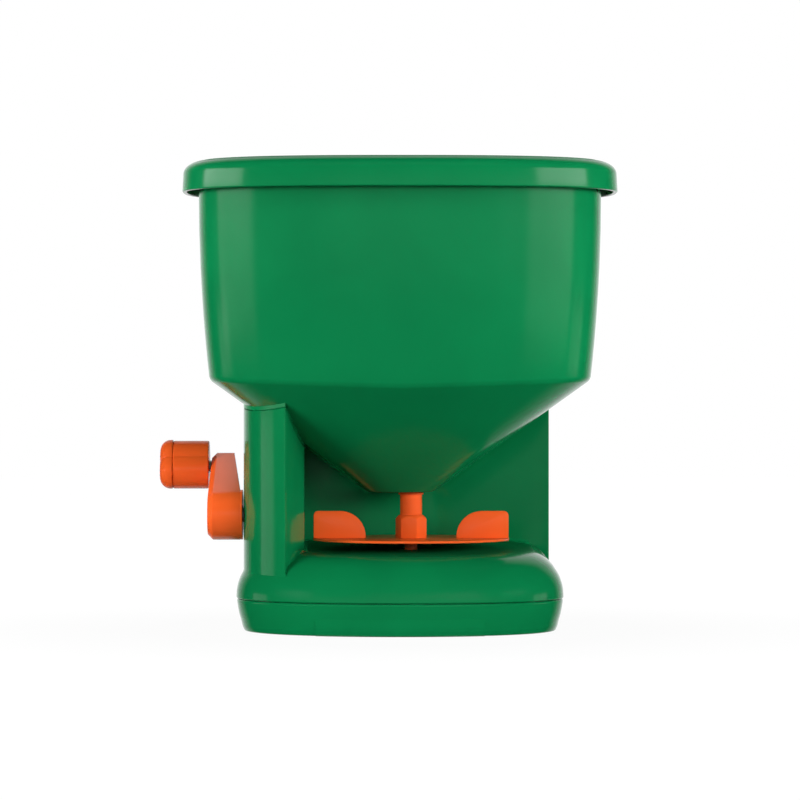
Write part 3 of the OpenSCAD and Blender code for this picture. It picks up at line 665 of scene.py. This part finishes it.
class SPREADER_OT_pan(Operator):
    """Shape the base pan with its tucked-in sides, inner lip, bearing brackets and screw wells"""
    bl_idname = "spreader.pan"
    bl_label = "Base pan"

    def execute(self, context):
        b, m = context.scene.spreader_body, context.scene.spreader_impeller
        # How far each ring is set in from the waist, and its height
        side = ((0.0043, 0.0002), (0.0039, 0.0006), (0.0037, 0.0012), (0.0033, 0.002), (0.003, 0.003),
                (0.0023, 0.0059), (0.0014, 0.009), (0.0008, 0.0121), (0.0004, 0.0148), (0.0003, 0.0156),
                (0.0004, 0.016))
        lip = ((0.0007, 0.0164), (0.0028, 0.0164), (0.0029, 0.0196), (0.0046, 0.0196), (0.005, 0.012),
               (0.006, 0.005), (0.008, b.wall))
        obj, skin = base_skin(b, "pan_skin", 0.0052, 0.0)
        for inset, z in side + lip:
            base_ring(skin, b, inset, z)
        tidy(obj)
        # The low pad on the front follows the pan's side
        pad, skin = base_skin(b, "front_pad", 0.0038, 0.0)
        for inset, z in side[1:6]:
            base_ring(skin, b, inset - b.pad_t, z)
        inset, z = side[6]
        base_ring(skin, b, inset + 0.0001, z)
        tidy(pad)
        carve(pad, bar("pad_edges", (-b.pad_w, -0.09, -0.001), (b.pad_w, -0.04, 0.01)), how="INTERSECT")
        carve(obj, pad, how="UNION")
        # Bearing brackets, the spindle's foot boss and the screw wells
        left = bar("left_bracket", (-0.078, -0.008, 0.0015), (-0.0734, 0.008, 0.027))
        carve(left, rod("left_bore", (-0.08, 0, 0.0195), "x", 0.01, 0.005))
        right = bar("right_bracket", (-0.024, -0.008, 0.0015), (-0.018, 0.008, 0.027))
        carve(right, rod("right_bore", (-0.03, 0, 0.0195), "x", 0.02, 0.0055))
        boss = rod("foot_boss", (m.axis_x, 0, 0.0015), "z", 0.0095, 0.0055)
        carve(boss, rod("foot_bore", (m.axis_x, 0, 0.004), "z", 0.01, 0.004))
        wells = ((0.036, -0.034), (-0.036, -0.034), (0.05, 0.038), (-0.036, 0.044))
        pads = [rod("screw_pad", (x, y, 0.0015), "z", 0.0046, 0.0045) for x, y in wells]
        for x, y in wells:
            carve(obj, rod("screw_well", (x, y, -0.002), "z", 0.0054, 0.0036))
        soften(left, 0.0006)
        soften(right, 0.0006)
        weld(obj, left, right, boss, *pads)
        obj.name = "pan_skin"
        dress(obj, "housing", "green_plastic", green_plastic(), "base_pan")
        lit_group("base_light").objects.link(obj)
        return {"FINISHED"}


class SPREADER_OT_crank(Operator):
    """Shape the crank arm, and the three-lobed knob with its domed cap"""
    bl_idname = "spreader.crank"
    bl_label = "Crank and knob"

    def execute(self, context):
        c = context.scene.spreader_crank
        y, z = c.throw * math.cos(c.lean), c.axis_z + c.throw * math.sin(c.lean)
        arm = rod("crank_arm_skin", (c.face_x, 0, c.axis_z), "x", c.hub_x - 0.0014 - c.face_x, c.hub_r, 96)
        tip = rod("arm_tip", (c.face_x, y, z), "x", 0.0118, c.tip_r, 64)
        weld(arm, tip)
        edit(arm)
        bpy.ops.mesh.convex_hull()
        bpy.ops.mesh.dissolve_limited(angle_limit=math.radians(1.0))
        round_edges(lambda e: all(abs(v.co.x - c.face_x) < 1e-5 for v in e.verts), 0.0027, 1)
        object_mode()
        soften(arm, 0.0003, 2, 30.0)
        hub = rod("arm_hub", (c.hub_x - 0.004, 0, c.axis_z), "x", 0.004, c.hub_r - 0.0001, 96)
        soften(hub, 0.0002)
        carve(arm, rod("screw_recess", (c.face_x - 0.001, 0, c.axis_z), "x", 0.0034, 0.0045))
        carve(hub, rod("shaft_bore", (c.hub_x - 0.01, 0, c.axis_z), "x", 0.02, 0.00395))
        weld(arm, hub)
        arm.name = "crank_arm_skin"
        dress(arm, "crank", "orange_plastic", orange_plastic(), "crank_arm")
        for group in ("crank_light", "orange_light"):
            lit_group(group).objects.link(arm)
        inner = c.face_x - 0.0014
        outer = inner - 0.0189
        knob = self.lobes("crank_knob_skin", outer, inner, y, z, c.knob_d, 0.0007, 0.38)
        dress(knob, "knob", "orange_plastic", orange_plastic(), "crank_knob", smooth=15.0)
        lit_group("orange_light").objects.link(knob)
        cap = self.lobes("knob_cap_skin", outer - 0.007, outer - 0.00002, y, z, c.knob_d + 0.001,
                         0.0056, 0.35)
        dress(cap, "knob", "orange_plastic", orange_plastic(), "knob_cap", smooth=15.0)
        lit_group("orange_light").objects.link(cap)
        return {"FINISHED"}

    def lobes(self, name, low, high, y, z, across, dome, plump):
        """Three lobes round a core, each domed at its outer end and set a hair inside the one before."""
        bulge = plump * across
        reach = across / 2 - bulge
        obj = self.puck(name, (low, y, z), high - low, (plump - 0.03) * across, dome)
        for count, turn in enumerate((92, 212, 332), 1):
            t, inset = math.radians(turn), 0.00003 * count
            spot = (low + inset, y + reach * math.cos(t), z + reach * math.sin(t))
            carve(obj, self.puck("lobe", spot, high - low - 2 * inset, bulge + inset / 9, dome), how="UNION")
        obj.name = name
        return obj

    def puck(self, name, spot, deep, radius, dome):
        """A short round bar, rounded over at both ends."""
        obj = rod(name, spot, "x", deep, radius, 72)
        edit(obj)
        for end, round_off in ((spot[0], dome), (spot[0] + deep, 0.0007)):
            round_edges(lambda e: all(abs(v.co.x - end) < 1e-5 for v in e.verts), round_off, 8)
        object_mode()
        return obj


class SPREADER_OT_impeller(Operator):
    """Shape the impeller: thin disc, two upright blades and a six sided hub"""
    bl_idname = "spreader.impeller"
    bl_label = "Impeller"

    def execute(self, context):
        m = context.scene.spreader_impeller
        disc = rod("impeller_skin", (m.axis_x, 0, m.disc_z - m.disc_t), "z", m.disc_t, m.disc_r, 160)
        soften(disc, 0.0004, 3)
        hub = fresh("hub", bpy.ops.mesh.primitive_cylinder_add, vertices=6, radius=m.hub_r, depth=0.0125,
                    location=(m.axis_x, 0, m.disc_z + 0.00565),
                    rotation=(0, 0, math.radians(90) + m.hub_turn))
        cone = fresh("hub_cone", bpy.ops.mesh.primitive_cone_add, vertices=96, radius1=0.0169, radius2=0.0,
                     depth=0.02, location=(m.axis_x, 0, m.disc_z + 0.0094))
        carve(hub, cone, how="INTERSECT")
        soften(hub, 0.0003, 2, 25.0)
        blades = [self.blade(m, side) for side in (1, -1)]
        weld(disc, hub, *blades)
        disc.name = "impeller_skin"
        dress(disc, "impeller", "orange_plastic", orange_plastic(), "impeller_disc")
        for obj in (disc, frame["nodes"]["impeller_spindle"]):
            lit_group("orange_light").objects.link(obj)
        return {"FINISHED"}

    def blade(self, m, side):
        """One upright blade with a swept inner edge and a rounded outer corner."""
        y, low = -m.blade_t / 2, m.disc_z - 0.0004
        near, far = m.axis_x + side * m.blade_r, m.axis_x + side * (m.disc_r - 0.0003)
        obj = corner_plan("blade", ((near, y, low), (far, y, low), (far, y, m.blade_z), (near, y, m.blade_z)))
        choose("VERT", lambda v: abs(v.co.x - near) < 1e-5 and v.co.z > low + 0.001)
        bpy.ops.mesh.bevel(offset=0.0132, affect="VERTICES", segments=14, profile=0.5)
        choose("VERT", lambda v: abs(v.co.x - far) < 1e-5 and v.co.z > low + 0.001)
        bpy.ops.mesh.bevel(offset=0.0024, affect="VERTICES", segments=6)
        bpy.ops.mesh.select_mode(type="FACE")
        bpy.ops.mesh.select_all(action="SELECT")
        push(0, m.blade_t, 0)
        tidy(obj)
        soften(obj, 0.0003, 2, 60.0)
        return obj


class SPREADER_OT_handle(Operator):
    """Sweep the rear loop handle and split it into its two shells"""
    bl_idname = "spreader.handle"
    bl_label = "Loop handle"

    def execute(self, context):
        h, b = context.scene.spreader_handle, context.scene.spreader_body
        for side, name, node in ((-1, "handle_left_skin", "handle_left_shell"),
                                 (1, "handle_right_skin", "handle_right_shell")):
            obj = self.loop(h, b, name)
            edit(obj)
            bpy.ops.mesh.bisect(plane_co=(side * 0.00006, 0, 0), plane_no=(side, 0, 0),
                                clear_inner=True, use_fill=True)
            bpy.ops.mesh.select_all(action="SELECT")
            bpy.ops.mesh.normals_make_consistent(inside=False)
            object_mode()
            soften(obj, 0.0005, 2, 60.0)
            if side < 0:
                for z in (h.top_z - 0.032, 0.044):
                    carve(obj, rod("screw_well", (-0.03, h.grip_y + 0.001, z), "x", 0.034 - h.grip_w, 0.0033))
            obj.name = name
            dress(obj, "housing", "green_plastic", green_plastic(), node)
        return {"FINISHED"}

    def loop(self, h, b, name):
        """Station by station: the section is stood upright, resized, leaned and moved on."""
        tower, foot = b.rear - b.tower_in, b.rear
        back = h.grip_y - h.bend
        foot_w = h.grip_w - FOOT_STEP
        stations = [(tower + 0.00025, h.top_z, 90, BRIDGE_HALF, h.grip_w),
                    (tower + 0.01, h.top_z, 90, BRIDGE_HALF, h.grip_w)]
        for t in range(0, 91, 10):
            r = math.radians(t)
            stations.append((back + h.bend * math.sin(r), h.top_z - h.bend * (1 - math.cos(r)), 90 - t,
                             BRIDGE_HALF + (GRIP_HALF - BRIDGE_HALF) * t / 90, h.grip_w))
        span = h.top_z - h.bend - (h.low_z + h.bend)
        for part in (0.2, 0.4, 0.6, 0.8):
            swell = math.sin(part * math.pi)
            stations.append((h.grip_y + 0.0015 * swell, h.top_z - h.bend - span * part, 0,
                             GRIP_HALF + 0.001 * swell, h.grip_w + 0.001 * swell))
        for t in range(0, 91, 10):
            r = math.radians(t)
            stations.append((back + h.bend * math.cos(r), h.low_z + h.bend * (1 - math.sin(r)), -t,
                             GRIP_HALF - (GRIP_HALF - FOOT_HALF) * t / 90, h.grip_w - FOOT_STEP * t / 90))
        stations += [(foot + 0.009, h.low_z, -90, FOOT_HALF, foot_w),
                     (foot - 0.0012, h.low_z, -100.5, FOOT_HALF, foot_w)]
        y, z, lean, high, wide = stations[0]
        obj = soft_plan(name, wide, high, high, 2.5, 2.5, 0.0)
        bpy.ops.transform.translate(value=(0, y, z))
        self.turn(lean, y, z)
        for to_y, to_z, to_lean, to_high, to_wide in stations[1:]:
            push(0, to_y - y, to_z - z)
            self.turn(-lean, to_y, to_z)
            bpy.ops.transform.resize(value=(to_wide / wide, to_high / high, 1),
                                     center_override=(0, to_y, to_z))
            self.turn(to_lean, to_y, to_z)
            y, z, lean, high, wide = to_y, to_z, to_lean, to_high, to_wide
        tidy(obj)
        return obj

    def turn(self, degrees, y, z):
        bpy.ops.transform.rotate(value=-math.radians(degrees), orient_axis="X", center_override=(0, y, z))


class SPREADER_OT_works(Operator):
    """Give the shafts, gears, bushes, screws and small orange pieces their finishes"""
    bl_idname = "spreader.works"
    bl_label = "Works"

    def execute(self, context):
        f = context.scene.spreader_finish
        finishes = {
            "green_plastic": green_plastic(),
            "orange_plastic": orange_plastic(),
            "steel": finish("plated_steel", f.steel, metal=0.5, gloss=(0.25, 0.42), flow=60.0,
                            ripple=900.0, bump=0.06, depth=0.0001),
            "nylon": finish("natural_nylon", f.nylon, spread=0.04, gloss=(0.38, 0.5), flow=30.0,
                            ripple=500.0, bump=0.05),
            "bronze": finish("sintered_bronze", f.bronze, spread=0.15, metal=1.0, gloss=(0.35, 0.55),
                             flow=200.0, ripple=1500.0, bump=0.1, depth=0.0001),
        }
        slots = {part["node"]: part["material_slot"] for part in frame["record"]["subparts"]}
        # The deck bush's near-black finish is painted shade for the dark under the disc
        dark = finish("painted_shade_bush", f.bush, spread=0.2, gloss=(0.5, 0.65), flow=120.0, ripple=900.0,
                      bump=0.05)
        for node, obj in frame["nodes"].items():
            made = dark if node == "spindle_deck_bush" else finishes[slots[node]]
            if not obj.material_slots:
                obj.data.materials.append(made)
            for slot in obj.material_slots:
                slot.material = made
        return {"FINISHED"}


class SPREADER_OT_stage(Operator):
    """Set the white sweep, softboxes and camera"""
    bl_idname = "spreader.stage"
    bl_label = "Studio"

    def execute(self, context):
        scene = context.scene
        scene.view_settings.view_transform = "Standard"
        floor = fresh("studio_floor", bpy.ops.mesh.primitive_plane_add, size=8.0)
        floor.data.materials.append(self.paper("floor_paper", scene.spreader_finish.floor, 0.96))
        wall = fresh("studio_backdrop", bpy.ops.mesh.primitive_plane_add, size=16.0, location=(0, 4.0, 0.0),
                     rotation=(math.pi / 2, 0, 0))
        wall.data.materials.append(self.paper("backdrop_paper", scene.spreader_finish.floor, 1.0))
        scene.world = self.air()
        for side, way, turn in SIDE_TURNS:
            t = math.radians(turn)
            x, y = way * SIDE_REACH * math.sin(t), -SIDE_REACH * math.cos(t)
            for name, z, size, watts in SIDE_BOXES:
                box = self.softbox(side + name, (x, y, z), (0, 0, z), size, watts)
                box.light_linking.receiver_collection = lit_group("hopper_light")
            self.softbox(side + "_low_box", (way * SIDE_REACH, 0.25, 0.03), (0, 0, 0.03), (0.45, 0.16), 0.2)
        shaded = [floor]
        for name, spot, size, watts, group in FILLS:
            lamp = self.softbox(name, spot, FILL_AIM, size, watts)
            if group:
                lamp.light_linking.receiver_collection = lit_group(group)
            shaded.append(lamp)
        for thing in shaded:
            thing.visible_glossy = False
        lens = bpy.data.cameras.new("studio_camera")
        lens.lens, lens.sensor_width = CAMERA_LENS, CAMERA_SENSOR
        lens.clip_end = 50.0
        camera = bpy.data.objects.new("studio_camera", lens)
        camera.location = CAMERA_SPOT
        camera.rotation_euler = (math.pi / 2, 0.0, 0.0)
        scene.collection.objects.link(camera)
        scene.camera = camera
        return {"FINISHED"}

    def air(self):
        """White to the camera; a low pale band ahead of the part, and dark elsewhere, to its surfaces."""
        world = bpy.data.worlds.new("studio_air")
        world.use_nodes = True
        nodes, links = world.node_tree.nodes, world.node_tree.links
        air = nodes["Background"]
        air.inputs["Color"].default_value = (1, 1, 1, 1)
        path = add_node(nodes, "LightPath")
        where = add_node(nodes, "TexCoord")
        parts = add_node(nodes, "SeparateXYZ")
        level = add_node(nodes, "MapRange", From_Min=-0.1, From_Max=0.3)
        ahead = add_node(nodes, "MapRange", From_Min=-0.35, From_Max=-0.75, To_Min=0.1)
        glow = add_node(nodes, "Math", "MULTIPLY")
        seen = add_node(nodes, "Mix", B=1.0)
        band = add_node(nodes, "ValToRGB")
        for at, grey in ((0.13, 0.02), (0.2, 0.34), (0.4, 0.28), (0.62, 0.08)):
            step = band.color_ramp.elements.new(at)
            step.color = (grey, grey, grey, 1)
        band.color_ramp.elements[0].color = (0.02, 0.02, 0.02, 1)
        band.color_ramp.elements[-1].color = (0.03, 0.03, 0.03, 1)
        links.new(where.outputs["Generated"], parts.inputs[0])
        links.new(parts.outputs["Z"], level.inputs["Value"])
        links.new(level.outputs["Result"], band.inputs["Fac"])
        links.new(parts.outputs["Y"], ahead.inputs["Value"])
        links.new(band.outputs["Color"], glow.inputs[0])
        links.new(ahead.outputs["Result"], glow.inputs[1])
        links.new(glow.outputs[0], seen.inputs["A"])
        links.new(path.outputs["Is Camera Ray"], seen.inputs["Factor"])
        links.new(seen.outputs["Result"], air.inputs["Strength"])
        return world

    def paper(self, name, tint, glow):
        """White paper that the camera and reflections see bright, dimming to the sides in reflections."""
        made = bpy.data.materials.new(name)
        made.use_nodes = True
        nodes, links = made.node_tree.nodes, made.node_tree.links
        nodes.clear()
        out = add_node(nodes, "OutputMaterial")
        matt = add_node(nodes, "BsdfDiffuse", Color=(*tint, 1))
        seen_matt = add_node(nodes, "BsdfDiffuse", Color=(*(c * (1 - glow) for c in tint), 1))
        light = add_node(nodes, "Emission")
        where = add_node(nodes, "TexCoord")
        far = add_node(nodes, "VectorMath", "LENGTH")
        fade = add_node(nodes, "MapRange", From_Min=0.13, From_Max=0.3, To_Min=glow, To_Max=1.0)
        across = add_node(nodes, "SeparateXYZ")
        aside = add_node(nodes, "Math", "ABSOLUTE")
        dim = add_node(nodes, "MapRange", From_Min=1.0, From_Max=4.0, To_Min=1.0, To_Max=0.0)
        choice = add_node(nodes, "Mix")
        seen = add_node(nodes, "AddShader")
        path = add_node(nodes, "LightPath")
        rays = [add_node(nodes, "Math", "MAXIMUM") for _ in range(2)]
        mix = add_node(nodes, "MixShader")
        links.new(where.outputs["Object"], far.inputs[0])
        links.new(far.outputs["Value"], fade.inputs["Value"])
        links.new(where.outputs["Object"], across.inputs[0])
        links.new(across.outputs["X"], aside.inputs[0])
        links.new(aside.outputs[0], dim.inputs["Value"])
        links.new(dim.outputs["Result"], choice.inputs["A"])
        links.new(fade.outputs["Result"], choice.inputs["B"])
        links.new(choice.outputs["Result"], light.inputs["Strength"])
        links.new(path.outputs["Is Camera Ray"], choice.inputs["Factor"])
        links.new(path.outputs["Is Camera Ray"], rays[0].inputs[0])
        links.new(path.outputs["Is Glossy Ray"], rays[0].inputs[1])
        links.new(rays[0].outputs[0], rays[1].inputs[0])
        links.new(path.outputs["Is Transmission Ray"], rays[1].inputs[1])
        links.new(rays[1].outputs[0], mix.inputs["Fac"])
        links.new(light.outputs[0], seen.inputs[0])
        links.new(seen_matt.outputs[0], seen.inputs[1])
        links.new(matt.outputs[0], mix.inputs[1])
        links.new(seen.outputs[0], mix.inputs[2])
        links.new(mix.outputs[0], out.inputs["Surface"])
        return made

    def softbox(self, name, spot, aim, size, watts):
        """A rectangular lamp that the camera does not see, turned to its aim."""
        lamp = bpy.data.lights.new(name, "AREA")
        lamp.shape = "RECTANGLE"
        lamp.size, lamp.size_y = size
        lamp.energy = watts
        obj = bpy.data.objects.new(name, lamp)
        obj.visible_camera = False
        obj.location = spot
        way = [a - s for a, s in zip(aim, spot)]
        flat = math.hypot(way[0], way[1])
        obj.rotation_euler = (math.pi / 2 + math.atan2(way[2], flat), 0,
                              math.atan2(way[1], way[0]) - math.pi / 2)
        bpy.context.scene.collection.objects.link(obj)
        return obj


class SPREADER_PT_panel(Panel):
    """Lists the steps that dress the spreader"""
    bl_idname = "SPREADER_PT_panel"
    bl_label = "Hand Crank Spreader"
    bl_space_type = "VIEW_3D"
    bl_region_type = "UI"
    bl_category = "Spreader"

    def draw(self, context):
        for step in STEPS:
            self.layout.operator(step.bl_idname)


GROUPS = (("spreader_hopper", HopperSizes), ("spreader_body", BodySizes), ("spreader_crank", CrankSizes),
          ("spreader_impeller", ImpellerSizes), ("spreader_handle", HandleSizes),
          ("spreader_finish", Finishes))
STEPS = (SPREADER_OT_stage, SPREADER_OT_works, SPREADER_OT_hopper, SPREADER_OT_body, SPREADER_OT_pan,
         SPREADER_OT_crank, SPREADER_OT_impeller, SPREADER_OT_handle)


def register():
    for name, group in GROUPS:
        bpy.utils.register_class(group)
        setattr(bpy.types.Scene, name, PointerProperty(type=group))
    for step in STEPS:
        bpy.utils.register_class(step)
    bpy.utils.register_class(SPREADER_PT_panel)


def unregister():
    bpy.utils.unregister_class(SPREADER_PT_panel)
    for step in reversed(STEPS):
        bpy.utils.unregister_class(step)
    for name, group in reversed(GROUPS):
        delattr(bpy.types.Scene, name)
        bpy.utils.unregister_class(group)


def main():
    register()
    bpy.ops.spreader.stage()
    bpy.ops.spreader.works()
    bpy.ops.spreader.hopper()
    bpy.ops.spreader.body()
    bpy.ops.spreader.pan()
    bpy.ops.spreader.crank()
    bpy.ops.spreader.impeller()
    bpy.ops.spreader.handle()


if __name__ == "__main__":
    main()
